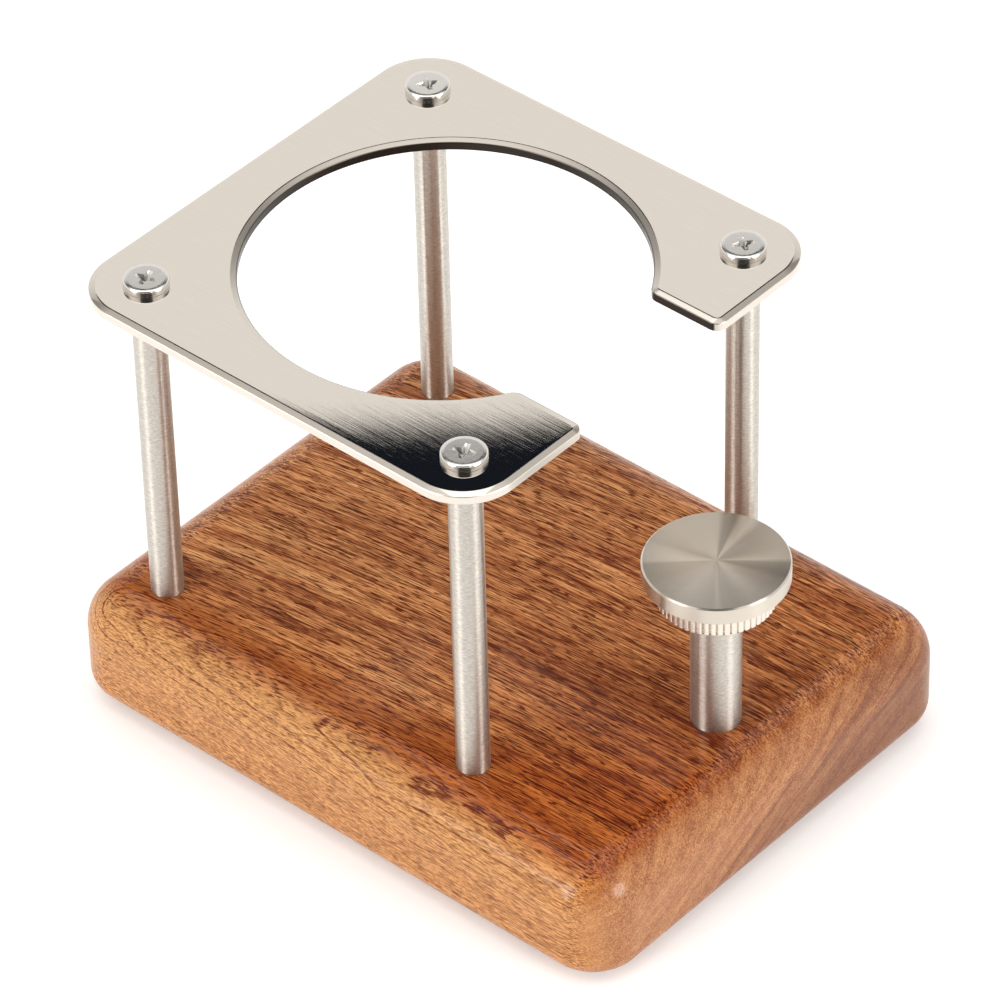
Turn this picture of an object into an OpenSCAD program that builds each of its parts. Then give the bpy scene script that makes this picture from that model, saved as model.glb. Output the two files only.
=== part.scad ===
// Tamping stand for a coffee portafilter: a hardwood block, four posts, a
// C-shaped steel plate that holds the basket, and a rest for the handle whose
// height is set with a knurled wheel. The handle points to -Y. Millimetres.

/* [Wooden base] */
// Width of the block, left to right
base_w = 100; // [92:1:120]
// Length of the block, front to back
base_l = 130; // [126:1:160]
// Thickness of the block
base_t = 24; // [22:0.5:26]
// Radius of the block's upright corners
corner_r = 10; // [9.5:0.5:14]
// Radius rounded over along the top edges
top_round = 9.4; // [4:0.2:9.4]
// Radius rounded over along the bottom edges
bottom_round = 4.6; // [1:0.2:6]

/* [Posts] */
// Distance between the post centres, left to right and front to back
post_spacing = 75; // [72:0.5:76]
// Distance from the back edge of the block to the back posts' centres
back_margin = 15; // [14:0.5:18]
// Diameter of a post
post_d = 6.2; // [6:0.1:8]
// Length of post that shows between the wood and the plate
post_show = 69; // [50:0.5:90]

/* [Top plate] */
// Side of the square plate
plate_w = 96; // [94:0.5:98]
// Thickness of the plate
plate_t = 2; // [1.5:0.1:3]
// Radius of the plate's four outer corners
plate_corner_r = 10.9; // [8:0.1:12]
// Diameter of the round hole that holds the basket
ring_d = 74; // [70:0.5:76]
// Width of the gap that the handle's neck passes through
gap_w = 36; // [30:0.5:40]
// Radius at the tips of the plate's two arms
tip_r = 2.2; // [1:0.1:3]

/* [Handle rest] */
// Distance from the front edge of the block to the centre of the rest
rest_margin = 15; // [15:0.5:17]
// Diameter of the barrel that the rest slides in
barrel_d = 9.3; // [9:0.1:11]
// Length of barrel that shows above the wood
barrel_show = 28.4; // [26:0.2:34]
// Diameter of the flat disc under the handle
disc_d = 26.7; // [24:0.1:28]
// Thickness of the disc
disc_t = 3.6; // [3:0.1:6]
// Diameter of the adjusting wheel over its teeth
wheel_d = 21.8; // [18:0.1:23]
// Thickness of the adjusting wheel
wheel_t = 4.8; // [4:0.1:6]
// Number of teeth round the adjusting wheel
wheel_teeth = 54; // [30:1:60]
// Depth of the grooves between the teeth
tooth_depth = 0.55; // [0.3:0.05:0.8]
// Diameter of the threaded stud
stud_d = 6; // [5:0.5:6]

/* [Fasteners and feet] */
// Diameter of a screw's shank
screw_d = 4; // [4:0.1:4.2]
// Diameter of a screw's head
head_d = 8.4; // [8:0.1:9]
// Height of a screw's head
head_t = 1.4; // [1.2:0.1:2]
// Thickness of a washer
washer_t = 0.8; // [0.5:0.1:1]
// Length of a top screw's shank
top_screw_l = 10; // [8:1:12]
// Length of a bottom screw's shank
base_screw_l = 25; // [23:1:26]
// Diameter of a rubber foot
foot_d = 12; // [8:0.5:12]
// Thickness of a rubber foot
foot_t = 1; // [0.8:0.1:2]

/* [Hidden] */
$fn = 64;

eps = 0.01;                                // overshoot of a cutter past a face
seat = 4;                                  // depth that posts and barrel sit in the wood
counterbore_d = 10;                        // room for a bottom screw's head and washer
head_recess = 1;                           // how far a bottom screw's head lies below the face
counterbore_h = washer_t + head_t + head_recess;
screw_clearance = 0.3;                     // wider than the shank, in wood and plate
tap_clearance = 0.1;                       // wider than the shank, in a tapped hole
seat_clearance = 0.1;                      // wider than the post, in its seat
stud_fit = 0.1;                            // wider than the stud, in the wheel
barrel_fit = 0.2;                          // wider than the stud, in the barrel
top_tap_depth = 10;                        // tapped hole in a post's top end
base_tap_depth = 10.5;                     // tapped hole in a post's bottom end
stud_bore_depth = 20;                      // hole for the stud in the barrel
stud_in_barrel = 19;                       // length of stud in the barrel at rest
stud_in_disc = 2.6;                        // length of stud held in the disc
screw_hole_d = screw_d + screw_clearance;
chamfer = 0.35;                            // broken edge on turned steel pieces
head_round = 0.5;                          // rounded rim of a screw's head
recess_w = 0.95;                           // width of a wing of the cross recess
recess_l = 4;                              // length of the cross recess
recess_h = 0.8;                            // depth of the cross recess

z_base = foot_t;                           // underside of the block
z_wood = z_base + base_t;                  // top of the block
z_plate = z_wood + post_show;              // underside of the plate
z_seat = z_wood - seat;                    // bottom end of posts and barrel
z_counter = z_base + counterbore_h;        // roof of a counterbore
z_barrel = z_wood + barrel_show;           // top of the barrel
z_disc = z_barrel + wheel_t;               // underside of the disc

post_x = post_spacing / 2;
post_back_y = base_l / 2 - back_margin;
post_front_y = post_back_y - post_spacing;
ring_y = (post_back_y + post_front_y) / 2; // centre of the ring and of the plate
rest_y = rest_margin - base_l / 2;         // centre line of the handle rest

foot_x = base_w / 2 - 14;
foot_front_y = 14 - base_l / 2;
foot_back_y = post_back_y - 14;

// A place over a post: side is -1 left or 1 right, row is -1 front or 1 back
module at_post(side, row, z) {
    translate([side * post_x, row < 0 ? post_front_y : post_back_y, z]) children();
}

module at_rest(z) {
    translate([0, rest_y, z]) children();
}

// ---- wooden base ----

// Section through the rounded rim, from inside to the outer face at x = reach
module rim_section(reach) {
    difference() {
        square([reach, base_t]);
        translate([reach - top_round, base_t - top_round]) difference() {
            square(top_round + 1);
            circle(top_round);
        }
        translate([reach - bottom_round, bottom_round]) difference() {
            translate([0, -bottom_round - 1]) square(bottom_round + 1);
            circle(bottom_round);
        }
    }
}

module rounded_block() {
    inner_w = base_w - 2 * corner_r;
    inner_l = base_l - 2 * corner_r;
    translate([-inner_w / 2, -inner_l / 2, 0]) cube([inner_w, inner_l, base_t]);
    for (turn = [0, 180]) rotate(turn) {
        translate([inner_w / 2, inner_l / 2, 0]) rotate([90, 0, 0])
            linear_extrude(inner_l) rim_section(corner_r);
        translate([-inner_w / 2, inner_l / 2, 0]) rotate([90, 0, 90])
            linear_extrude(inner_w) rim_section(corner_r);
        translate([inner_w / 2, inner_l / 2, 0])
            rotate_extrude(angle = 90) rim_section(corner_r);
        translate([-inner_w / 2, inner_l / 2, 0]) rotate(90)
            rotate_extrude(angle = 90) rim_section(corner_r);
    }
}

// Seat above, screw hole through, counterbore below
module base_drilling(seat_d) {
    translate([0, 0, z_seat]) cylinder(d = seat_d + seat_clearance, h = seat + eps);
    translate([0, 0, z_base - eps]) cylinder(d = screw_hole_d, h = base_t);
    translate([0, 0, z_base - eps]) cylinder(d = counterbore_d, h = counterbore_h + eps);
}

module base_block() {
    color("sienna") difference() {
        translate([0, 0, z_base]) rounded_block();
        for (side = [-1, 1]) for (row = [-1, 1]) at_post(side, row, 0) base_drilling(post_d);
        at_rest(0) base_drilling(barrel_d);
    }
}

module foot(side, row) {
    color("dimgray") translate([side * foot_x, row < 0 ? foot_front_y : foot_back_y, 0])
        cylinder(d = foot_d, h = foot_t);
}

// ---- posts and plate ----

module post(side, row) {
    length = seat + post_show;
    color("silver") at_post(side, row, z_seat) difference() {
        cylinder(d = post_d, h = length);
        translate([0, 0, -eps]) cylinder(d = screw_d + tap_clearance, h = base_tap_depth);
        translate([0, 0, length - top_tap_depth])
            cylinder(d = screw_d + tap_clearance, h = top_tap_depth + eps);
    }
}

module rounded_square(side, r) {
    square([side - 2 * r, side], center = true);
    square([side, side - 2 * r], center = true);
    for (x = [-1, 1]) for (y = [-1, 1])
        translate([x, y] * (side / 2 - r)) circle(r);
}

// Takes the sharp point off an arm's inner corner, between ring and gap
module inner_tip_cut() {
    ring_r = ring_d / 2;
    half_gap = gap_w / 2;
    mid_x = half_gap + tip_r;
    mid_y = -sqrt(pow(ring_r + tip_r, 2) - pow(mid_x, 2));
    touch = ring_r / (ring_r + tip_r);
    difference() {
        polygon([
            [half_gap - 1, mid_y + tip_r + 1],
            [mid_x * touch, mid_y * touch],
            [mid_x, mid_y],
            [half_gap - 1, mid_y]
        ]);
        translate([mid_x, mid_y]) circle(tip_r);
    }
}

// Rounds an arm's outer corner, between gap and front edge
module outer_tip_cut() {
    translate([gap_w / 2 + tip_r, -plate_w / 2 + tip_r]) difference() {
        translate([-tip_r - 1, -tip_r - 1]) square(tip_r + 1);
        circle(tip_r);
    }
}

module plate_outline() {
    difference() {
        rounded_square(plate_w, plate_corner_r);
        circle(d = ring_d);
        translate([-gap_w / 2, -plate_w / 2 - 1]) square([gap_w, plate_w / 2]);
        for (side = [0, 1]) mirror([side, 0]) {
            inner_tip_cut();
            outer_tip_cut();
        }
        for (x = [-1, 1]) for (y = [-1, 1])
            translate([x, y] * post_x) circle(d = screw_hole_d);
    }
}

module top_plate() {
    color("gainsboro") translate([0, ring_y, z_plate]) linear_extrude(plate_t) plate_outline();
}

// ---- fasteners, drawn with the washer's underside or the head's at z = 0 ----

module washer() {
    difference() {
        cylinder(d = head_d, h = washer_t);
        translate([0, 0, -eps]) cylinder(d = screw_hole_d, h = washer_t + 2 * eps);
    }
}

module head_section() {
    difference() {
        square([head_d / 2, head_t]);
        translate([head_d / 2 - head_round, head_t - head_round]) difference() {
            square(head_round + 1);
            circle(head_round);
        }
    }
}

module screw(length) {
    difference() {
        union() {
            rotate_extrude() head_section();
            translate([0, 0, -length]) cylinder(d = screw_d, h = length + eps);
        }
        for (turn = [0, 90]) rotate(turn)
            translate([-recess_l / 2, -recess_w / 2, head_t - recess_h])
                cube([recess_l, recess_w, recess_h + 1]);
    }
}

module plate_screw(side, row) {
    color("whitesmoke") at_post(side, row, z_plate + plate_t) screw(top_screw_l);
}

module base_washer(side, row) {
    color("silver") at_post(side, row, z_counter - washer_t) washer();
}

module base_screw(side, row) {
    color("silver") at_post(side, row, z_counter - washer_t) mirror([0, 0, 1]) screw(base_screw_l);
}

module barrel_washer() {
    color("silver") at_rest(z_counter - washer_t) washer();
}

module barrel_screw() {
    color("silver") at_rest(z_counter - washer_t) mirror([0, 0, 1]) screw(base_screw_l);
}

// ---- handle rest ----

// A round bar standing on z = 0 with both ends' edges broken
module turned(d, h) {
    rotate_extrude() polygon([
        [0, 0],
        [d / 2 - chamfer, 0],
        [d / 2, chamfer],
        [d / 2, h - chamfer],
        [d / 2 - chamfer, h],
        [0, h]
    ]);
}

module rest_barrel() {
    length = seat + barrel_show;
    color("silver") at_rest(z_seat) difference() {
        turned(barrel_d, length);
        translate([0, 0, -eps]) cylinder(d = screw_d + tap_clearance, h = base_tap_depth);
        translate([0, 0, length - stud_bore_depth])
            cylinder(d = stud_d + barrel_fit, h = stud_bore_depth + eps);
    }
}

module rest_stud() {
    color("silver") at_rest(z_barrel - stud_in_barrel)
        turned(stud_d, stud_in_barrel + wheel_t + stud_in_disc);
}

module adjusting_wheel() {
    steps = 2 * wheel_teeth;
    rim = [for (i = [0 : steps - 1])
        (wheel_d / 2 - (i % 2) * tooth_depth) * [cos(360 * i / steps), sin(360 * i / steps)]];
    color("silver") at_rest(z_barrel) difference() {
        linear_extrude(wheel_t) polygon(rim);
        translate([0, 0, -eps]) cylinder(d = stud_d + stud_fit, h = wheel_t + 2 * eps);
    }
}

module rest_disc() {
    color("gainsboro") at_rest(z_disc) difference() {
        turned(disc_d, disc_t);
        translate([0, 0, -eps]) cylinder(d = stud_d + stud_fit, h = stud_in_disc + 2 * eps);
    }
}

base_block();
foot(-1, -1);  // foot_front_left
foot(1, -1);  // foot_front_right
foot(-1, 1);  // foot_back_left
foot(1, 1);  // foot_back_right
post(-1, -1);  // post_front_left
post(1, -1);  // post_front_right
post(-1, 1);  // post_back_left
post(1, 1);  // post_back_right
top_plate();
plate_screw(-1, -1);  // plate_screw_front_left
plate_screw(1, -1);  // plate_screw_front_right
plate_screw(-1, 1);  // plate_screw_back_left
plate_screw(1, 1);  // plate_screw_back_right
base_washer(-1, -1);  // base_washer_front_left
base_washer(1, -1);  // base_washer_front_right
base_washer(-1, 1);  // base_washer_back_left
base_washer(1, 1);  // base_washer_back_right
base_screw(-1, -1);  // base_screw_front_left
base_screw(1, -1);  // base_screw_front_right
base_screw(-1, 1);  // base_screw_back_left
base_screw(1, 1);  // base_screw_back_right
barrel_washer();
barrel_screw();
rest_barrel();
rest_stud();
adjusting_wheel();
rest_disc();
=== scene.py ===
"""Tamping stand for a coffee portafilter: an add-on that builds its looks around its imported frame."""

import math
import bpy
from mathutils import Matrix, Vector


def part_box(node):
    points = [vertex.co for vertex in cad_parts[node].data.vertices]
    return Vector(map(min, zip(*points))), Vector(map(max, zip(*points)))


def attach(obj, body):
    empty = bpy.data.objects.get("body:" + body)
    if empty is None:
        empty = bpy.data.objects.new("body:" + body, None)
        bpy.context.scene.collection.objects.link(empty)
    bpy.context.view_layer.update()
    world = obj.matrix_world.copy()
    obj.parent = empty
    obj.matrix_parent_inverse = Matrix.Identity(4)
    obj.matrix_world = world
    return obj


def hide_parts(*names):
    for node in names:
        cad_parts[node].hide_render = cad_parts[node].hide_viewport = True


bl_info = {
    "name": "Tamping Stand",
    "version": (1, 0, 0),
    "blender": (4, 5, 0),
    "location": "View3D > Sidebar > Tamping Stand",
    "description": "Builds the pieces of a wooden and steel tamping stand around its packed frame",
    "category": "Object",
}

import bmesh
import bpy
from bpy.props import FloatProperty, FloatVectorProperty, IntProperty, PointerProperty, StringProperty
from mathutils import Matrix, Vector

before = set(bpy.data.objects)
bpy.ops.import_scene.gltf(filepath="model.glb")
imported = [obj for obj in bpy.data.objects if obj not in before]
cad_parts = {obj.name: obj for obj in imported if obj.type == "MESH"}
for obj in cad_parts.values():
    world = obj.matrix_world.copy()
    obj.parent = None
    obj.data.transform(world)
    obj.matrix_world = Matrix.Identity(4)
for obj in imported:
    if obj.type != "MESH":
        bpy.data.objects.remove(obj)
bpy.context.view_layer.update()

MM = 0.001
PLACES = [f"{row}_{side}" for row in ("front", "back") for side in ("left", "right")]

# Sizes inside the pieces, which the frame's boxes don't hold
OPENING_R = 37 * MM
TAPPED_R = 2.05 * MM
CLEARANCE_R = 2.15 * MM
COUNTERBORE_R = 5 * MM
STUD_BORE_R = 3.1 * MM
STUD_FIT_R = 3.05 * MM
SEAT_CLEARANCE = 0.05 * MM
HEAD_HEIGHT = 1.4 * MM
CUT_OVER = 2 * MM


# ---- where things are, from the frame ----


def middle(node):
    """Centre of a node's box."""
    low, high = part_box(node)
    return (low + high) / 2


def axis_of(node):
    """The point under a node's centre, at its lowest height."""
    low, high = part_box(node)
    return Vector(((low.x + high.x) / 2, (low.y + high.y) / 2, low.z))


def width_of(node):
    low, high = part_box(node)
    return high.x - low.x


def height_of(node):
    low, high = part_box(node)
    return high.z - low.z


# ---- meshes ----


def smooth_mesh(name, bm, sharp_deg=30):
    """A new object from a bmesh, smooth but for edges that turn more than sharp_deg."""
    bmesh.ops.remove_doubles(bm, verts=bm.verts, dist=1e-7)
    bmesh.ops.recalc_face_normals(bm, faces=bm.faces)
    mesh = bpy.data.meshes.new(name)
    bm.to_mesh(mesh)
    bm.free()
    for polygon in mesh.polygons:
        polygon.use_smooth = True
    mesh.set_sharp_from_angle(angle=math.radians(sharp_deg))
    piece = bpy.data.objects.new(name, mesh)
    bpy.context.scene.collection.objects.link(piece)
    return piece


def apply_modifiers(piece):
    """Replaces a piece's mesh with what its modifiers make of it."""
    graph = bpy.context.evaluated_depsgraph_get()
    made = bpy.data.meshes.new_from_object(piece.evaluated_get(graph))
    old = piece.data
    piece.modifiers.clear()
    piece.data = made
    made.name = piece.name
    bpy.data.meshes.remove(old)


def cut(piece, cutters):
    """Takes the cutters' shapes out of a piece, and removes them."""
    for cutter in cutters:
        boolean = piece.modifiers.new("cut", "BOOLEAN")
        boolean.operation = "DIFFERENCE"
        boolean.solver = "EXACT"
        boolean.object = cutter
    apply_modifiers(piece)
    for cutter in cutters:
        bpy.data.objects.remove(cutter)


def even_shading(piece, sharp_deg=30):
    """Flat faces keep flat shading where they meet rounded ones."""
    piece.data.set_sharp_from_angle(angle=math.radians(sharp_deg))
    weighted = piece.modifiers.new("shading", "WEIGHTED_NORMAL")
    weighted.mode = "FACE_AREA"
    weighted.weight = 100
    weighted.keep_sharp = True
    apply_modifiers(piece)


def ring(bm, points):
    return [bm.verts.new(point) for point in points]


def bridge(bm, lower, upper):
    """Quads between two closed loops of the same length."""
    count = len(lower)
    for i in range(count):
        j = (i + 1) % count
        bm.faces.new((lower[i], lower[j], upper[j], upper[i]))


def arc(centre, radius, start_deg, end_deg, steps):
    """Points along an arc in a plane, ends included."""
    angles = [math.radians(start_deg + (end_deg - start_deg) * i / steps) for i in range(steps + 1)]
    return [(centre[0] + radius * math.cos(a), centre[1] + radius * math.sin(a)) for a in angles]


def circle(radius, count):
    """Points round a circle about the origin."""
    angles = [2 * math.pi * i / count for i in range(count)]
    return [(radius * math.cos(a), radius * math.sin(a)) for a in angles]


def turned(name, profile, place, turns=96):
    """A lathe-turned piece about the axis at place; profile is (radius, height) pairs going up."""
    bm = bmesh.new()
    loops = []
    for radius, height in profile:
        points = circle(radius, turns) if radius else [(0, 0)]
        loops.append(ring(bm, [(place.x + x, place.y + y, place.z + height) for x, y in points]))
    for lower, upper in zip(loops, loops[1:]):
        if len(lower) == 1 or len(upper) == 1:
            tip, loop = (lower[0], upper) if len(lower) == 1 else (upper[0], lower)
            for i in range(turns):
                bm.faces.new((tip, loop[i], loop[(i + 1) % turns]))
        else:
            bridge(bm, lower, upper)
    return smooth_mesh(name, bm)


def lofted(name, levels, sharp_deg=30):
    """A solid through closed loops of points from bottom to top, capped at both ends."""
    bm = bmesh.new()
    loops = [ring(bm, points) for points in levels]
    for lower, upper in zip(loops, loops[1:]):
        bridge(bm, lower, upper)
    bm.faces.new(reversed(loops[0]))
    bm.faces.new(loops[-1])
    return smooth_mesh(name, bm, sharp_deg)


def round_cutter(centre, radius, low, high, steps=96):
    """A cylinder to cut with."""
    outline = [(centre.x + x, centre.y + y) for x, y in circle(radius, steps)]
    return lofted("cutter", [[(x, y, z) for x, y in outline] for z in (low, high)])


def inset(outline, distance):
    """An outline moved inwards by distance; the outline runs anticlockwise."""
    count = len(outline)
    moved = []
    for i, (x, y) in enumerate(outline):
        before, after = outline[i - 1], outline[(i + 1) % count]
        into = Vector((x - before[0], y - before[1])).normalized()
        out = Vector((after[0] - x, after[1] - y)).normalized()
        normal = Vector((-into.y - out.y, into.x + out.x)).normalized()
        reach = distance / max(0.5, normal.dot(Vector((-into.y, into.x))))
        moved.append((x + normal.x * reach, y + normal.y * reach))
    return moved


def finish_piece(piece, look, body, slot, *nodes):
    """Gives a piece its material, its body and the nodes that it stands for; slot is not used."""
    piece.data.materials.clear()
    piece.data.materials.append(look)
    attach(piece, body)
    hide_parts(*nodes)


# ---- shader maths ----


class Value:
    """A socket that carries a number; an operator on it adds a Math node."""

    def __init__(self, nodes, socket):
        self.nodes = nodes
        self.socket = socket

    def math(self, operation, first, second):
        return self.nodes.value("ShaderNodeMath", {"operation": operation}, {0: first, 1: second})

    def __add__(self, other):
        return self.math("ADD", self, other)

    __radd__ = __add__

    def __mul__(self, other):
        return self.math("MULTIPLY", self, other)

    __rmul__ = __mul__

    def __sub__(self, other):
        return self.math("SUBTRACT", self, other)

    def __rsub__(self, other):
        return self.math("SUBTRACT", other, self)

    def __mod__(self, other):
        return self.math("FLOORED_MODULO", self, other)

    def __rmod__(self, other):
        return self.math("FLOORED_MODULO", other, self)

    def root(self):
        """The square root."""
        return self.nodes.value("ShaderNodeMath", {"operation": "SQRT"}, {0: self})

    def between(self, low, high):
        """0 at low and 1 at high, with a smooth step from one to the other."""
        settings = {"interpolation_type": "SMOOTHSTEP"}
        if low > high:
            return 1 - self.between(high, low)
        return self.nodes.value("ShaderNodeMapRange", settings, {
            "Value": self, "From Min": low, "From Max": high})


class Nodes:
    """Adds nodes to a tree."""

    def __init__(self, tree):
        self.tree = tree
        tree.nodes.clear()

    def node(self, kind, settings=None, sockets=None):
        """Adds a node: its settings first, then its sockets' values or links."""
        made = self.tree.nodes.new(kind)
        for name, setting in (settings or {}).items():
            if name == "stops":
                self.set_stops(made.color_ramp, setting)
            else:
                setattr(made, name, setting)
        for name, given in (sockets or {}).items():
            self.feed(made.inputs[name], given)
        return made

    def feed(self, socket, given):
        if isinstance(given, Value):
            given = given.socket
        if isinstance(given, bpy.types.NodeSocket):
            self.tree.links.new(given, socket)
        elif isinstance(given, tuple) and len(given) == 3 and socket.type == "RGBA":
            socket.default_value = (*given, 1)
        else:
            socket.default_value = given

    def set_stops(self, ramp, stops):
        while len(ramp.elements) < len(stops):
            ramp.elements.new(1)
        for element, (position, colour) in zip(ramp.elements, stops):
            element.position = position
            element.color = (*colour, 1)

    def value(self, kind, settings=None, sockets=None):
        return Value(self, self.node(kind, settings, sockets).outputs[0])

    def point(self, x, y, z):
        """A vector from three numbers."""
        return self.node("ShaderNodeCombineXYZ", {}, {"X": x, "Y": y, "Z": z}).outputs[0]

    def parts(self, vector):
        """The three numbers of a vector."""
        split = self.node("ShaderNodeSeparateXYZ", {}, {0: vector})
        return [Value(self, output) for output in split.outputs]

    def vector(self, operation, first, second):
        settings = {"operation": operation}
        return self.node("ShaderNodeVectorMath", settings, {0: first, 1: second}).outputs[0]

    def dot(self, first, second):
        settings = {"operation": "DOT_PRODUCT"}
        made = self.node("ShaderNodeVectorMath", settings, {0: first, 1: second})
        return Value(self, made.outputs["Value"])

    def noise(self, where, detail=2, roughness=0.5):
        sockets = {"Vector": where, "Scale": 1, "Detail": detail, "Roughness": roughness}
        return self.value("ShaderNodeTexNoise", {}, sockets)

    def colours(self, factor, stops):
        """Colour from a number by way of a ramp."""
        return self.node("ShaderNodeValToRGB", {"stops": stops}, {"Fac": factor}).outputs["Color"]

    def mix(self, factor, first, second, blend="MIX"):
        """Mixes two colours, from the first at 0 to the second at 1."""
        settings = {"data_type": "RGBA", "blend_type": blend}
        return self.node("ShaderNodeMix", settings, {0: factor, 6: first, 7: second}).outputs[2]


class Surface(Nodes):
    """Builds one material on a Principled shader."""

    def __init__(self, name, **plain):
        self.material = bpy.data.materials.new(name)
        self.material.use_nodes = True
        super().__init__(self.material.node_tree)
        uniform = {socket.replace("_", " "): given for socket, given in plain.items()}
        self.shader = self.node("ShaderNodeBsdfPrincipled", {}, uniform)
        self.node("ShaderNodeOutputMaterial", {}, {"Surface": self.shader.outputs["BSDF"]})
        place = self.node("ShaderNodeTexCoord").outputs["Object"]
        self.place_mm = self.vector("MULTIPLY", place, (1 / MM, 1 / MM, 1 / MM))

    def grain(self, per_mm, **more):
        """Noise at so many cells a millimetre along each axis."""
        return self.noise(self.vector("MULTIPLY", self.place_mm, per_mm), **more)

    def bump(self, height, distance, strength=1.0):
        """Feeds the shader's normal from a height."""
        sockets = {"Height": height, "Distance": distance, "Strength": strength}
        self.paint("Normal", self.node("ShaderNodeBump", {}, sockets).outputs["Normal"])

    def paint(self, name, given):
        self.feed(self.shader.inputs[name], given)


def shade(hex_colour):
    """Linear colour from a six-digit screen colour."""
    channels = [int(hex_colour[i : i + 2], 16) / 255 for i in (0, 2, 4)]
    return tuple(c / 12.92 if c < 0.04045 else ((c + 0.055) / 1.055) ** 2.4 for c in channels)


# ---- materials ----


class Grain(Surface):
    """A surface cut from a block of hardwood, with its grain along Y."""

    def __init__(self, name, **plain):
        super().__init__(name, **plain)
        self.x, self.y, self.z = self.parts(self.place_mm)
        x, z = self.x, self.z
        self.along = along = 0 - self.y
        # The grain swings slowly sideways on its way to the front
        self.across = x - along * 0.095 + along * along * 0.00058
        self.rise = z + along * 0.02
        # Height through the growth layers, which lie tilted and slightly arched in the block
        layer = z * 0.87 - x * 0.45 + x * x * 0.0015 + along * 0.043 - along * along * 0.00026
        layer = layer + (self.grain((0.05, 0.03, 0.08), detail=2) - 0.5) * 3.2
        self.layer = layer + (self.grain((0.6, 0.16, 0.6), detail=3) - 0.5) * 0.7
        self.beside = x * 0.87 + z * 0.5

    def fibres(self, thick, long, **more):
        """Noise drawn out along the grain: so many cells a millimetre across it and along it."""
        where = self.point(self.across * thick, self.along * long, self.rise * thick)
        return self.noise(where, **more)

    def layers(self, thick, wide, long, **more):
        """Noise in the growth layers: so many cells a millimetre through, across and along."""
        where = self.point(self.layer * thick, self.beside * wide, self.along * long)
        return self.noise(where, **more)

    def veins(self, noise, width):
        """Thin lines along a noise's middle level."""
        off = noise - 0.5
        return (off * off).between(width * width, width * width * 0.12)


def varnished_wood():
    """Open-pored hardwood under satin varnish: fine lines along the grain, layers across it."""
    look = bpy.context.scene.stand_finish
    wood = Grain("varnished_wood", Coat_Roughness=0.14, Coat_IOR=1.45, Specular_IOR_Level=0.04)
    x, y, z = wood.x, wood.y, wood.z
    growth = wood.layers(0.55, 0.04, 0.012, detail=3, roughness=0.6)
    bands = wood.fibres(0.6, 0.012, detail=2, roughness=0.5)
    lines = wood.fibres(3.0, 0.05, detail=3, roughness=0.65)
    hairs = wood.fibres(4.4, 0.15, detail=2, roughness=0.65)
    pores = wood.fibres(4.6, 0.34, detail=1, roughness=0.5)
    flecks = wood.fibres(4.0, 0.7, detail=2, roughness=0.65)
    speckle = wood.grain((3.6, 3.6, 3.6), detail=2, roughness=0.7)

    # The end faces, the left face, and the golden zone along the left edge, in millimetres
    end = y.between(-58, -63.5) + y.between(58, 63.5)
    side = x.between(-43, -49.5)
    edge = x.between(-36, -41) * z.between(11, 17) * y.between(-56, -40)
    long_faces = 1 - end

    tone = growth * 0.3 + bands * 0.2 + lines * 0.5
    body = wood.colours(tone, [
        (0.38, shade(look.wood_deep)),
        (0.46, shade(look.wood_middle)),
        (0.55, shade(look.wood_light)),
        (0.66, shade(look.wood_pale)),
    ])
    body = wood.mix(side * 0.6, body, shade("d69a5d"))

    # Where growth layers break out at the long edge, golden wood shows between thin dark lines
    phase = (wood.layer * 0.8 + (growth - 0.5) * 0.5) % 1
    late = phase.between(0.74, 0.92) * phase.between(1.0, 0.96)
    late = late * (0.25 + hairs.between(0.6, 0.42) * 0.75)
    fine_phase = (wood.layer * 3.0 + (growth - 0.5)) % 1
    contour = fine_phase.between(0.45, 0.7) * fine_phase.between(1.0, 0.85)
    contour = contour * (0.3 + hairs.between(0.6, 0.4) * 0.7) * (0.65 - x.between(-45, -48) * 0.4)
    golden = wood.mix(x.between(-41, -46), shade("b9773a"), shade("d29b60"))
    body = wood.mix(edge * (1 - late) * 0.7, body, golden)

    # Dark lines along the grain, gathered in the darker layers
    thin = wood.veins(wood.fibres(1.05, 0.028, detail=2), 0.036)
    thin = thin * (0.3 + hairs.between(0.62, 0.4) * 0.7)
    dark = lines.between(0.48, 0.38) * 0.3 + hairs.between(0.47, 0.39) * 0.75
    dark = dark * (0.6 + growth.between(0.6, 0.4) * 0.4) + thin * 0.95
    dark = dark * long_faces * (1 - side * 0.5) * (1 - edge * 0.6)
    colour = wood.mix(dark, body, shade(look.wood_line))
    colour = wood.mix(side * flecks.between(0.52, 0.4) * 0.5, colour, shade("7d4526"))
    colour = wood.mix(side * flecks.between(0.52, 0.64) * 0.4, colour, shade("daa05f"))
    layered = edge * contour + late * (0.08 + edge * 0.72)
    colour = wood.mix(layered, colour, shade("652408"))

    # Open pores: dashes on the long faces and dots in the end grain
    dashes = pores.between(0.55, 0.63) * (0.95 - end * 0.55 - side * 0.4)
    colour = wood.mix(dashes, colour, shade("571f08"))
    colour = wood.mix(end * 0.85, colour, end_grain(wood, body, speckle, late))

    # The varnish is ruddier towards the front left and along the shoulder
    shoulder = x.between(-28, -38) * z.between(22.9, 24.3)
    front = y.between(-12, -56) * 0.35 + y.between(8, -40) * x.between(18, -20) * 0.6
    ruddy = (0.04 + front + shoulder * 0.62) * long_faces * (1 - side)
    colour = wood.mix(ruddy, colour, (0.80, 0.50, 0.25), "MULTIPLY")
    wood.paint("Base Color", colour)
    wood.paint("Roughness", 0.5 + dashes * 0.2)
    wood.paint("Coat Weight", 0.6 - dashes * 0.5)
    wood.bump(1 - dashes - speckle * 0.12, 0.05 * MM, 0.6)
    return wood.material


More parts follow.
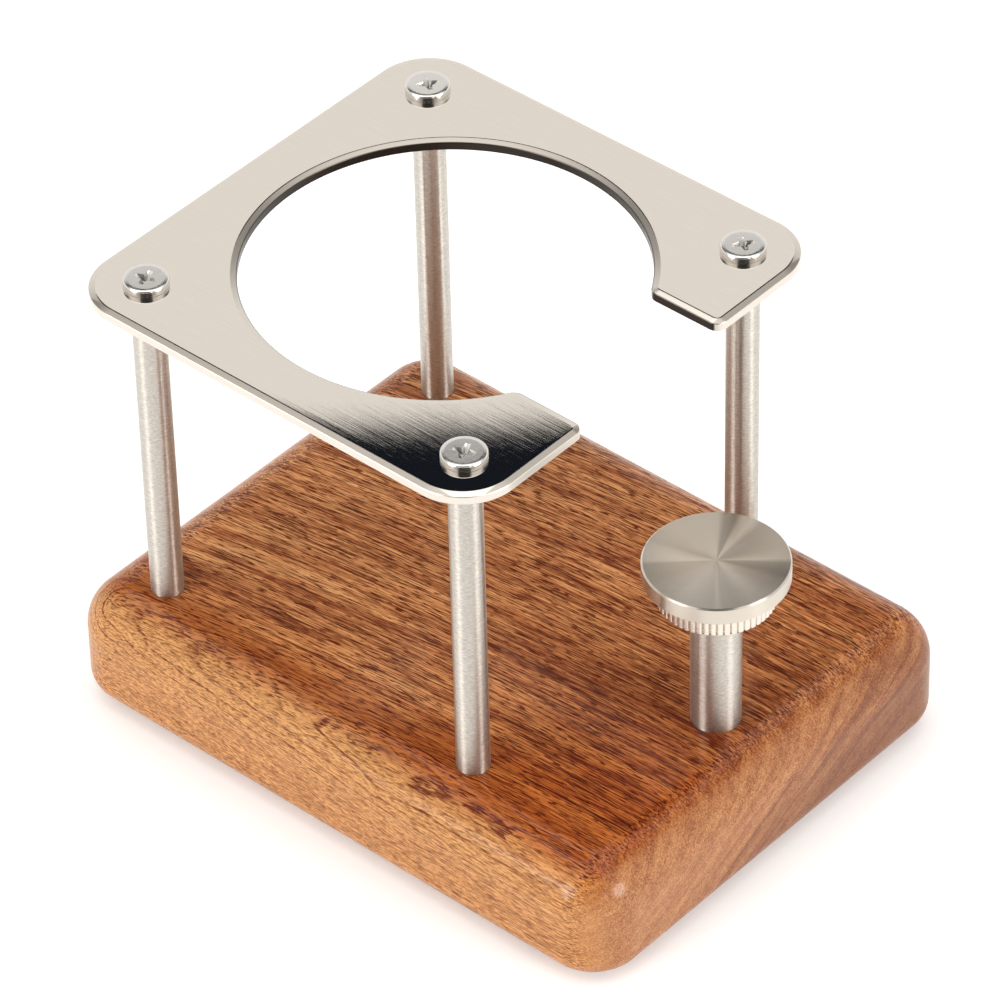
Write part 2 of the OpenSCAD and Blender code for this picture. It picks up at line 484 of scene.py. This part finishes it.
def end_grain(wood, body, speckle, late):
    """Fine dots over slanting layers, purple-brown towards one lower corner."""
    dots = wood.mix(speckle.between(0.34, 0.66), shade("6a3e26"), shade("b88662"))
    slanting = wood.layers(0.42, 0.02, 0, detail=3, roughness=0.55)
    shadowed = (wood.x * 0.010 - wood.z * 0.03 + slanting * 1.5 + 0.05).between(0.2, 0.75)
    colour = wood.mix(shadowed * 0.75, wood.mix(0.6, body, dots), shade("60362a"))
    return wood.mix(late * 0.35, colour, shade("5e3018"))


def satin_bar():
    """Ground steel bar: a satin grain round the bar draws the light out along it."""
    steel = Surface("satin_bar", Metallic=1.0, Anisotropic=0.95, Anisotropic_Rotation=0.25)
    fine = steel.grain((1.2, 1.2, 7.0), detail=3, roughness=0.75)
    marks = steel.grain((0.5, 0.5, 2.5), detail=2)
    steel.paint("Base Color", steel.mix(fine.between(0.3, 0.7), shade("b3ada5"), shade("dcd7ce")))
    steel.paint("Roughness", 0.22 + fine * 0.14 + marks * 0.04)
    steel.bump(fine, 0.01 * MM, 0.7)
    return steel.material


def bright_plate():
    """Bright plate with a very fine straight grain along Y; the sides of its opening carry painted
    shade.
    """
    steel = Surface("bright_plate", Metallic=1.0)
    x, y, z = steel.parts(steel.place_mm)
    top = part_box("top_plate")[1].z / MM
    out = y - middle("top_plate").y / MM
    bore = OPENING_R / MM
    half_gap = bpy.context.scene.stand_shape.gap_width / 2 / MM
    from_axis = x * x + out * out
    inside = from_axis.between((bore + 0.3) ** 2, (bore + 0.1) ** 2)
    gap = (x * x).between((half_gap + 0.4) ** 2, (half_gap + 0.15) ** 2) * out.between(-20, -21)
    # Painted shade: the sides of the opening and of the gap are painted dark
    opening_shade = (inside + gap - inside * gap) * z.between(top - 0.2, top - 0.35)
    broad = steel.grain((0.9, 0.03, 0.9), detail=2)
    fine = steel.grain((5.0, 0.11, 5.0), detail=3, roughness=0.6)
    bevel = z.between(top - 0.01, top - 0.05)
    bright = steel.mix(fine, shade("d8d1c8"), shade("e3dcd2"))
    # Painted shade: the bevel's colour is darker along the front and left edges and at the back of the
    # opening
    round_hole = from_axis.between((bore + 2.0) ** 2, (bore + 1.7) ** 2)
    outer = 1 - (1 - x.between(-46.3, -46.7)) * (1 - out.between(-46.3, -46.7))
    painted_shading = outer + round_hole * (x * 0.74 + out * 0.67).between(-12, 6)
    bevel_shade = bevel * z.between(top - 0.36, top - 0.3) * painted_shading
    bright = steel.mix(bevel_shade, bright, shade("aea79e"))
    steel.paint("Base Color", steel.mix(opening_shade, bright, shade("3a3633")))
    steel.paint("Roughness", 0.012 + bevel * 0.27)
    steel.bump(broad * 0.6 + fine * 0.4, 0.0014 * MM)
    return steel.material


def bright_nickel():
    """Bright plated screws."""
    nickel = Surface("bright_nickel", Metallic=1.0)
    haze = nickel.grain((0.9, 0.9, 0.9), detail=4, roughness=0.65)
    # Painted shade: the recesses of the upper screws get darker with depth
    x, y, z = nickel.parts(nickel.place_mm)
    centre = middle("top_plate") / MM
    axis = middle("plate_screw_back_right") / MM - centre
    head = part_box("plate_screw_back_right")[1].z / MM
    x, y = x - centre.x, y - centre.y
    across, along = (x * x).root() - axis.x, (y * y).root() - axis.y
    deep = (across * across + along * along).between(2.5**2, 2.3**2)
    deep = deep * z.between(head - 0.1, head - 0.9)
    plating = nickel.mix(haze, shade("dad7d3"), shade("ebe8e5"))
    nickel.paint("Base Color", nickel.mix(deep * 0.35, plating, shade("3c3a38")))
    nickel.paint("Roughness", 0.1 + haze * 0.14)
    nickel.bump(haze, 0.01 * MM, 0.3)
    return nickel.material


def turned_rings():
    """Lathe-turned steel: a bright rim, and a face with painted reflections, sectors of light and shade
    painted round it as its turned rings would spread the light.
    """
    steel = Surface("turned_rings", Metallic=1.0, Anisotropic=0.95, Anisotropic_Rotation=0.25)
    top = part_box("rest_disc")[1].z / MM
    centre = middle("rest_disc") / MM
    x, y, z = steel.parts(steel.place_mm)
    out = steel.point(x - centre.x, y - centre.y, 0.0)
    turn = steel.value("ShaderNodeTexGradient", {"gradient_type": "RADIAL"}, {"Vector": out})
    # Painted reflections: degrees round the face from the start, with the painted light of each wedge
    start = -48
    wedges = [
        (0, 1.15), (5, 1.0), (15, 0.86), (30, 0.83), (48, 0.76), (57, 1.05), (66, 1.01), (71, 0.6),
        (80, 0.63), (86, 0.9), (120, 0.85), (146, 0.94), (152, 0.9), (158, 1.03), (179, 1.25),
        (183, 0.98), (195, 1.09), (210, 1.16), (225, 0.95), (255, 0.745), (264, 0.7), (268, 0.78),
        (273, 0.65), (285, 0.68), (300, 0.89), (315, 1.03), (330, 1.2), (342, 0.83), (354, 0.78),
        (360, 1.15),
    ]
    stops = [(degrees / 360, (light * 0.8,) * 3) for degrees, light in wedges]
    painted_wedge_light = steel.colours((turn - 0.5 - start / 360) % 1, stops)
    haze = steel.grain((1.5, 1.5, 1.5), detail=3)
    face = z.between(top - 0.12, top - 0.02)
    rim = steel.mix(haze, shade("ccc4b8"), shade("d6cec2"))
    # The face's colour carries the painted reflections
    painted_shading = steel.mix(1.0, steel.mix(haze, shade("d8d1c7"), shade("e0d9cf")), painted_wedge_light, "MULTIPLY")
    steel.paint("Base Color", steel.mix(face, rim, painted_shading))
    steel.paint("Roughness", 0.2 + haze * 0.05)
    return steel.material


def bright_turned():
    """Knurls and threads."""
    steel = Surface("bright_turned", Metallic=1.0)
    haze = steel.grain((2.0, 2.0, 9.0), detail=3)
    steel.paint("Base Color", steel.mix(haze, shade("ddd5ca"), shade("e9e2d8")))
    steel.paint("Roughness", 0.2 + haze * 0.12)
    steel.bump(haze, 0.01 * MM, 0.4)
    return steel.material


def moulded_rubber():
    """Matt black rubber with a fine moulded grain."""
    rubber = Surface("moulded_rubber")
    grain = rubber.grain((4, 4, 4), detail=3)
    rubber.paint("Base Color", rubber.mix(grain, shade("1c1b1a"), shade("2e2c2a")))
    rubber.paint("Roughness", 0.75 + grain * 0.15)
    rubber.bump(grain, 0.04 * MM, 0.5)
    return rubber.material


def floor_paper():
    """Plain pale paper."""
    paper = Surface(
        "floor_paper",
        Roughness=0.9,
        Specular_IOR_Level=0.0,
        Emission_Color=(1, 1, 1),
        Emission_Strength=0.3,
    )
    paper.paint("Base Color", tuple(bpy.context.scene.stand_finish.floor_colour))
    return paper.material


MAKERS = (
    varnished_wood,
    satin_bar,
    bright_plate,
    bright_nickel,
    turned_rings,
    bright_turned,
    moulded_rubber,
    floor_paper,
)


def material(name):
    """The material of that name, made on first use."""
    made = bpy.data.materials.get(name)
    if made:
        return made
    return {maker.__name__: maker for maker in MAKERS}[name]()


# ---- what a user may change ----


class StandShape(bpy.types.PropertyGroup):
    """Small shapes that the frame's boxes don't hold"""

    corner_radius: FloatProperty(
        name="Block corner radius", description="Radius of the block's upright corners",
        default=0.010, unit="LENGTH")
    top_round: FloatProperty(
        name="Top rounding", description="Radius rounded over along the block's top edges",
        default=0.0094, unit="LENGTH")
    bottom_round: FloatProperty(
        name="Bottom rounding", description="Radius rounded over along the block's bottom edges",
        default=0.0046, unit="LENGTH")
    plate_corner: FloatProperty(
        name="Plate corner radius", description="Radius of the plate's outer corners",
        default=0.0109, unit="LENGTH")
    tip_radius: FloatProperty(
        name="Arm tip radius", description="Radius at the tips of the plate's arms",
        default=0.0022, unit="LENGTH")
    gap_width: FloatProperty(
        name="Gap width", description="Width of the gap between the plate's arms",
        default=0.036, unit="LENGTH")
    bevel_width: FloatProperty(
        name="Bevel width", description="Width of the plate's polished bevel",
        default=0.0014, unit="LENGTH")
    bevel_depth: FloatProperty(
        name="Bevel depth", description="How far the bevel falls at the plate's edge",
        default=0.0003, unit="LENGTH")
    teeth: IntProperty(
        name="Wheel teeth", description="Number of teeth round the adjusting wheel",
        default=54, min=12, max=80)
    thread_pitch: FloatProperty(
        name="Thread pitch", description="Pitch of the stud's thread",
        default=0.001, unit="LENGTH")


class StandFinish(bpy.types.PropertyGroup):
    """Colours, as six-digit screen colours for the wood"""

    wood_deep: StringProperty(
        name="Wood, deep", description="Darkest tone of the wood between its lines", default="7a3a18")
    wood_middle: StringProperty(
        name="Wood, middle", description="Middle tone of the wood", default="a26036")
    wood_light: StringProperty(
        name="Wood, light", description="Light tone of the wood", default="c98b56")
    wood_pale: StringProperty(
        name="Wood, pale", description="Palest tone of the wood", default="d9a36e")
    wood_line: StringProperty(
        name="Wood, lines", description="Tone of the dark lines along the grain", default="4a1a05")
    floor_colour: FloatVectorProperty(
        name="Floor", description="Colour of the floor",
        default=(0.80, 0.80, 0.80), subtype="COLOR")


class StandView(bpy.types.PropertyGroup):
    """The camera"""

    azimuth: FloatProperty(
        name="Azimuth", description="Direction that the camera looks in, about Z from +Y",
        default=math.radians(-47.944), subtype="ANGLE")
    elevation: FloatProperty(
        name="Elevation", description="How far the camera looks down",
        default=math.radians(40.122), subtype="ANGLE")
    roll: FloatProperty(
        name="Roll", description="Turn of the camera about its own line of sight",
        default=math.radians(-1.447), subtype="ANGLE")
    distance: FloatProperty(
        name="Distance", description="Distance from the camera to its target",
        default=1.1396, unit="LENGTH")
    target: FloatVectorProperty(
        name="Target", description="Point that the camera looks at",
        default=(0.000143, 0.000974, 0.048), subtype="TRANSLATION")
    lens: FloatProperty(
        name="Lens", description="Focal length in millimetres on a 36 mm sensor",
        default=226.3)


# ---- operators ----


class STAND_OT_stage(bpy.types.Operator):
    """Makes the floor, the light and the camera"""

    bl_idname = "stand.stage"
    bl_label = "Stage"

    def execute(self, context):
        self.make_floor()
        self.make_sky(context.scene)
        self.make_camera(context.scene)
        context.scene.view_settings.view_transform = "Standard"
        return {"FINISHED"}

    def make_floor(self):
        half = 3.0
        bm = bmesh.new()
        corners = [(-half, -half, 0), (half, -half, 0), (half, half, 0), (-half, half, 0)]
        bm.faces.new(ring(bm, corners))
        floor = smooth_mesh("floor", bm)
        floor.data.materials.append(material("floor_paper"))

    def make_sky(self, scene):
        """A white room, dimmer on the camera's side, with two soft side lights and dark openings."""
        world = bpy.data.worlds.new("studio")
        scene.world = world
        world.use_nodes = True
        sky = Nodes(world.node_tree)
        towards = sky.node("ShaderNodeTexCoord").outputs["Generated"]
        height = sky.parts(towards)[2]

        def patch(azimuth, elevation, inner, outer):
            """1 within inner degrees of a direction, falling to 0 at outer degrees."""
            turn, rise = math.radians(azimuth), math.radians(elevation)
            level = math.cos(rise)
            centre = (math.sin(turn) * level, math.cos(turn) * level, math.sin(rise))
            near, far = math.cos(math.radians(inner)), math.cos(math.radians(outer))
            return sky.dot(towards, centre).between(far, near)

        # How far a direction points the way that the camera looks, seen from above
        ahead = sky.dot(towards, (0.743, 0.669, 0))
        # A dark strip of ceiling beyond the backdrop, and a dark patch over the camera
        far_side = ahead.between(-0.1, 0.25)
        ceiling = height.between(0.6331, 0.6365) * height.between(0.79, 0.74) * far_side
        behind_camera = patch(-132, 44, 20, 27)
        shaded = sky.mix(ceiling, shade("fffdfa"), (0.010, 0.013, 0.020))
        shaded = sky.mix(behind_camera, shaded, (0.045, 0.042, 0.040))
        near_side = (0 - ahead).between(0.2, 0.85) * height.between(0.75, 0.5)
        overhead = height.between(0.76, 0.86)
        side_light = patch(-75, 16, 9, 18) * 8.5 + patch(171, 16, 8, 17) * 9
        spot = patch(-158, 19, 2, 5)
        strength = 1 - near_side * 0.62 + overhead * 0.95 + side_light + spot * 7
        light = {"Color": shaded, "Strength": strength}
        background = sky.node("ShaderNodeBackground", {}, light)
        sky.node("ShaderNodeOutputWorld", {}, {"Surface": background.outputs["Background"]})

    def make_camera(self, scene):
        view = scene.stand_view
        data = bpy.data.cameras.new("camera")
        data.lens = view.lens
        data.sensor_width = 36
        data.clip_end = 20
        camera = bpy.data.objects.new("camera", data)
        scene.collection.objects.link(camera)
        level = math.cos(view.elevation)
        back = Vector((
            math.sin(view.azimuth) * level,
            -math.cos(view.azimuth) * level,
            math.sin(view.elevation),
        ))
        right = Vector((0, 0, 1)).cross(back).normalized()
        up = back.cross(right)
        axes = Matrix((right, up, back)).transposed()
        turn = Matrix.Rotation(view.roll, 3, "Z")
        place = Vector(view.target) + back * view.distance
        camera.matrix_world = Matrix.Translation(place) @ (axes @ turn).to_4x4()
        scene.camera = camera


class STAND_OT_block(bpy.types.Operator):
    """Makes the wooden block with its seats and counterbores"""

    bl_idname = "stand.block"
    bl_label = "Wooden block"

    def execute(self, context):
        shape = context.scene.stand_shape
        low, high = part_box("base_block")
        block = lofted("wood_block", [
            self.outline(shape, low, high, inward, height)
            for inward, height in self.rim(shape, low.z, high.z)
        ])
        cut(block, self.drills(low, high))
        even_shading(block)
        finish_piece(block, material("varnished_wood"), "root", "wood", "base_block")
        return {"FINISHED"}

    def rim(self, shape, low, high):
        """(how far in, height) pairs up the rounded side."""
        steps = 12
        bottom, top = shape.bottom_round, shape.top_round
        for i in range(steps + 1):
            a = math.pi / 2 * i / steps
            yield bottom * (1 - math.sin(a)), low + bottom * (1 - math.cos(a))
        for i in range(steps + 1):
            a = math.pi / 2 * i / steps
            yield top * (1 - math.cos(a)), high - top * (1 - math.sin(a))

    def outline(self, shape, low, high, inward, height):
        radius = shape.corner_radius
        points = []
        corners = [(high.x, high.y), (low.x, high.y), (low.x, low.y), (high.x, low.y)]
        for quarter, (x, y) in enumerate(corners):
            turn = 90 * quarter
            centre = (x - math.copysign(radius, x), y - math.copysign(radius, y))
            points += arc(centre, radius - inward, turn, turn + 90, 12)
        return [(x, y, height) for x, y in points]

    def drills(self, low, high):
        """Cutters for seats, screw holes and counterbores."""
        cutters = []
        seated = [f"post_{place}" for place in PLACES] + ["rest_barrel"]
        washers = [f"base_washer_{place}" for place in PLACES] + ["barrel_washer"]
        for node, washer in zip(seated, washers):
            foot = axis_of(node)
            seat_r = width_of(node) / 2 + SEAT_CLEARANCE
            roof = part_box(washer)[1].z
            cutters.append(round_cutter(foot, seat_r, foot.z, high.z + CUT_OVER))
            cutters.append(round_cutter(foot, CLEARANCE_R, low.z - CUT_OVER, high.z - CUT_OVER))
            cutters.append(round_cutter(foot, COUNTERBORE_R, low.z - CUT_OVER, roof))
        return cutters


class STAND_OT_feet(bpy.types.Operator):
    """Makes the four rubber feet"""

    bl_idname = "stand.feet"
    bl_label = "Feet"

    def execute(self, context):
        for place in PLACES:
            node = f"foot_{place}"
            radius, height = width_of(node) / 2, height_of(node)
            soft = 0.3 * MM
            profile = [(0, 0), *arc((radius - soft, soft), soft, -90, 0, 4)]
            profile += [(radius, height), (0, height)]
            foot = turned(f"rubber_{node}", profile, axis_of(node), turns=64)
            finish_piece(foot, material("moulded_rubber"), "root", "foot_rubber", node)
        return {"FINISHED"}


class STAND_OT_posts(bpy.types.Operator):
    """Makes the four posts and the barrel of the handle rest"""

    bl_idname = "stand.posts"
    bl_label = "Posts and barrel"

    def execute(self, context):
        for place in PLACES:
            node = f"post_{place}"
            self.make_bar(node, f"steel_{node}", TAPPED_R, 10 * MM)
        self.make_bar("rest_barrel", "steel_barrel", STUD_BORE_R, 20 * MM)
        return {"FINISHED"}

    def make_bar(self, node, name, high_hole, high_depth):
        """A bar with a tapped hole in its foot and a hole in its top."""
        radius, length = width_of(node) / 2, height_of(node)
        low_depth, broken = 10.5 * MM, 0.25 * MM
        profile = [
            (0, low_depth),
            (TAPPED_R, low_depth),
            (TAPPED_R, 0),
            (radius - broken, 0),
            (radius, broken),
            (radius, length - broken),
            (radius - broken, length),
            (high_hole, length),
            (high_hole, length - high_depth),
            (0, length - high_depth),
        ]
        bar = turned(name, profile, axis_of(node))
        finish_piece(bar, material("satin_bar"), "root", "post_steel", node)


class STAND_OT_plate(bpy.types.Operator):
    """Makes the C-shaped plate with its polished bevel"""

    bl_idname = "stand.plate"
    bl_label = "Top plate"

    def execute(self, context):
        shape = context.scene.stand_shape
        low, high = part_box("top_plate")
        centre = (low + high) / 2
        outline = self.outline(shape, (high.x - low.x) / 2)
        plate = lofted("steel_plate", [
            [(centre.x + x, centre.y + y, low.z + height) for x, y in inset(outline, inward)]
            for inward, height in self.edge(shape, high.z - low.z)
        ])
        floor, roof = low.z - CUT_OVER, high.z + CUT_OVER
        cut(plate, [
            round_cutter(axis_of(f"post_{place}"), CLEARANCE_R, floor, roof, 48) for place in PLACES
        ])
        even_shading(plate, 20)
        finish_piece(plate, material("bright_plate"), "root", "plate_steel", "top_plate")
        return {"FINISHED"}

    def edge(self, shape, thick):
        """(how far in, height) pairs from the underside, round the edge, to the top face."""
        soft, rise = 0.12 * MM, 0.35 * MM
        yield soft, 0
        yield 0, soft
        yield 0, thick - shape.bevel_depth - soft
        yield soft * 0.6, thick - shape.bevel_depth
        yield shape.bevel_width - rise, thick - shape.bevel_depth * 0.16
        yield shape.bevel_width, thick

    def outline(self, shape, half):
        """The plate's outline about its centre, anticlockwise from the right arm's inner tip."""
        gap, tip, corner = shape.gap_width / 2, shape.tip_radius, shape.plate_corner
        inner_x = gap + tip
        inner_y = -math.sqrt((OPENING_R + tip) ** 2 - inner_x**2)
        lean = math.degrees(math.atan2(-inner_y, inner_x))
        flat = half - corner
        right = arc((inner_x, inner_y), tip, 180 - lean, 180, 8)
        right += arc((inner_x, -half + tip), tip, 180, 270, 8)
        right += arc((flat, -flat), corner, 270, 360, 20)
        right += arc((flat, flat), corner, 0, 90, 20)
        left = [(-x, y) for x, y in reversed(right)]
        start = math.degrees(math.atan2(inner_y, -inner_x))
        around = 360 - 2 * (90 - lean)
        hole_arc = arc((0, 0), OPENING_R, start, start - around, 160)
        return right + left + hole_arc[1:-1]


class STAND_OT_screws(bpy.types.Operator):
    """Makes the screws above the plate, and the screws and washers under the block"""

    bl_idname = "stand.screws"
    bl_label = "Screws and washers"

    # Degrees by which each recess is turned
    turn_of = {"front_left": 19, "front_right": 56, "back_left": 16, "back_right": 57}

    def execute(self, context):
        for place in PLACES:
            turn = self.turn_of[place]
            self.make_screw(f"plate_screw_{place}", turn, 1)
            self.make_washer(f"base_washer_{place}")
            self.make_screw(f"base_screw_{place}", turn + 25, -1)
        self.make_washer("barrel_washer")
        self.make_screw("barrel_screw", 50, -1)
        return {"FINISHED"}

    def make_washer(self, node):
        radius, height = width_of(node) / 2, height_of(node)
        soft = 0.12 * MM
        profile = [
            (CLEARANCE_R, 0),
            (radius - soft, 0),
            (radius, soft),
            (radius, height - soft),
            (radius - soft, height),
            (CLEARANCE_R + soft, height),
            (CLEARANCE_R, height - soft),
            (CLEARANCE_R, 0),
        ]
        washer = turned(f"steel_{node}", profile, axis_of(node), turns=64)
        finish_piece(washer, material("bright_nickel"), "root", "screw_steel", node)

    def make_screw(self, node, turn, way):
        """way is 1 for a head at the top and -1 for a head underneath."""
        low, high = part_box(node)
        radius = (high.x - low.x) / 2
        shank, point, broken, soft, flat = 2 * MM, 0.3 * MM, 0.1 * MM, 0.36 * MM, 0.6 * MM
        top = high.z - low.z
        length = top - HEAD_HEIGHT
        profile = [(0, 0), (shank - point, 0), (shank, point), (shank, length)]
        profile += [(radius - broken, length), (radius, length + broken)]
        profile += arc((radius - soft, top - soft), soft, 0, 80, 6)
        profile += [(radius - soft - flat, top), (0, top)]
        screw = turned(f"steel_{node}", profile, Vector((0, 0, 0)), turns=64)
        cut(screw, [self.recess(top, turn)])
        even_shading(screw)
        origin = Vector(((low.x + high.x) / 2, (low.y + high.y) / 2, low.z if way > 0 else high.z))
        move = Matrix.Translation(origin) @ Matrix.Diagonal((1, 1, way, 1))
        screw.data.transform(move)
        if way < 0:
            screw.data.flip_normals()
        finish_piece(screw, material("bright_nickel"), "root", "screw_steel", node)

    def recess(self, top, turn):
        """A tapered cross with narrowing wings, which the head's recess is cut with."""
        # Height against the head's top, a wing's reach, half its tip's width, and where wings meet
        sections = [(-1.2, 0.8, 0.2, 0.32), (0, 2.05, 0.42, 0.7), (0.3, 2.31, 0.46, 0.775)]
        levels = []
        for section in sections:
            height, reach, tip, root = (number * MM for number in section)
            points = []
            for quarter in range(4):
                a = math.radians(turn + 90 * quarter)
                out = Vector((math.cos(a), math.sin(a)))
                aside = Vector((-out.y, out.x))
                end = out * reach
                points += [end - aside * tip, end + aside * tip, (out + aside) * root]
            levels.append([(p.x, p.y, top + height) for p in points])
        return lofted("cutter", levels)


class STAND_OT_rest(bpy.types.Operator):
    """Makes the disc, the stud and the adjusting wheel of the handle rest"""

    bl_idname = "stand.rest"
    bl_label = "Handle rest"

    def execute(self, context):
        shape = context.scene.stand_shape
        self.make_disc()
        self.make_stud(shape.thread_pitch)
        self.make_wheel(shape.teeth)
        return {"FINISHED"}

    def make_disc(self):
        radius, height = width_of("rest_disc") / 2, height_of("rest_disc")
        edge = 0.3 * MM
        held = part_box("rest_stud")[1].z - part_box("rest_disc")[0].z
        profile = [
            (0, held),
            (STUD_FIT_R, held),
            (STUD_FIT_R, 0),
            (radius - edge, 0),
            (radius, edge),
            (radius, height - edge),
            (radius - edge, height),
            (0, height),
        ]
        disc = turned("steel_disc", profile, axis_of("rest_disc"), turns=160)
        finish_piece(disc, material("turned_rings"), "rest", "turned_steel", "rest_disc")

    def make_stud(self, pitch):
        """The stud with its thread as a helical ridge."""
        low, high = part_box("rest_stud")
        crest, depth = (high.x - low.x) / 2, 0.55 * MM
        around, per_turn = 48, 4
        place = axis_of("rest_stud")
        length = high.z - low.z
        steps = int(length / pitch * per_turn)
        levels = []
        for step in range(steps + 1):
            height = length * step / steps
            full = min(1, min(height, length - height) / (0.6 * pitch))
            points = []
            for i, (x, y) in enumerate(circle(1, around)):
                ridge = abs(2 * ((height / pitch + i / around) % 1) - 1)
                radius = crest - depth * (1 - ridge * full)
                points.append((place.x + radius * x, place.y + radius * y, place.z + height))
            levels.append(points)
        stud = lofted("steel_stud", levels, 50)
        finish_piece(stud, material("bright_turned"), "rest", "turned_steel", "rest_stud")

    def make_wheel(self, teeth):
        """A straight-knurled wheel: V grooves with a broken edge at both faces."""
        radius, height = width_of("adjusting_wheel") / 2, height_of("adjusting_wheel")
        place = axis_of("adjusting_wheel")
        groove, edge = 0.4 * MM, 0.35 * MM
        # How high the knurl stands at even steps across one tooth
        tooth = (0, 0.85, 1, 1, 1, 1, 0.85)
        count = teeth * len(tooth)
        bore = circle(STUD_FIT_R, count)
        face = circle(radius - groove - 0.05 * MM, count)
        knurl = []
        for i, (x, y) in enumerate(circle(1, count)):
            stands = radius - groove * (1 - tooth[i % len(tooth)])
            knurl.append((x * stands, y * stands))
        levels = [
            (bore, 0),
            (face, 0),
            (knurl, edge),
            (knurl, height - edge),
            (face, height),
            (bore, height),
        ]
        bm = bmesh.new()
        loops = [
            ring(bm, [(place.x + x, place.y + y, place.z + z) for x, y in points])
            for points, z in levels
        ]
        for lower, upper in zip(loops, loops[1:] + loops[:1]):
            bridge(bm, lower, upper)
        wheel = smooth_mesh("steel_wheel", bm)
        finish_piece(wheel, material("bright_turned"), "wheel", "turned_steel", "adjusting_wheel")


OPERATORS = (
    STAND_OT_stage,
    STAND_OT_block,
    STAND_OT_feet,
    STAND_OT_posts,
    STAND_OT_plate,
    STAND_OT_screws,
    STAND_OT_rest,
)


class STAND_PT_panel(bpy.types.Panel):
    """Lists the stand's pieces"""

    bl_label = "Tamping Stand"
    bl_idname = "STAND_PT_panel"
    bl_space_type = "VIEW_3D"
    bl_region_type = "UI"
    bl_category = "Tamping Stand"

    def draw(self, context):
        scene = context.scene
        for group in (scene.stand_shape, scene.stand_finish, scene.stand_view):
            box = self.layout.box()
            for name in group.__annotations__:
                box.prop(group, name)
        for operator in OPERATORS:
            self.layout.operator(operator.bl_idname)


GROUPS = (StandShape, StandFinish, StandView)


def register():
    for cls in (*GROUPS, *OPERATORS, STAND_PT_panel):
        bpy.utils.register_class(cls)
    bpy.types.Scene.stand_shape = PointerProperty(type=StandShape)
    bpy.types.Scene.stand_finish = PointerProperty(type=StandFinish)
    bpy.types.Scene.stand_view = PointerProperty(type=StandView)


def unregister():
    del bpy.types.Scene.stand_view
    del bpy.types.Scene.stand_finish
    del bpy.types.Scene.stand_shape
    for cls in reversed((*GROUPS, *OPERATORS, STAND_PT_panel)):
        bpy.utils.unregister_class(cls)


def main():
    register()
    for operator in OPERATORS:
        space, name = operator.bl_idname.split(".")
        getattr(getattr(bpy.ops, space), name)()


if __name__ == "__main__":
    main()
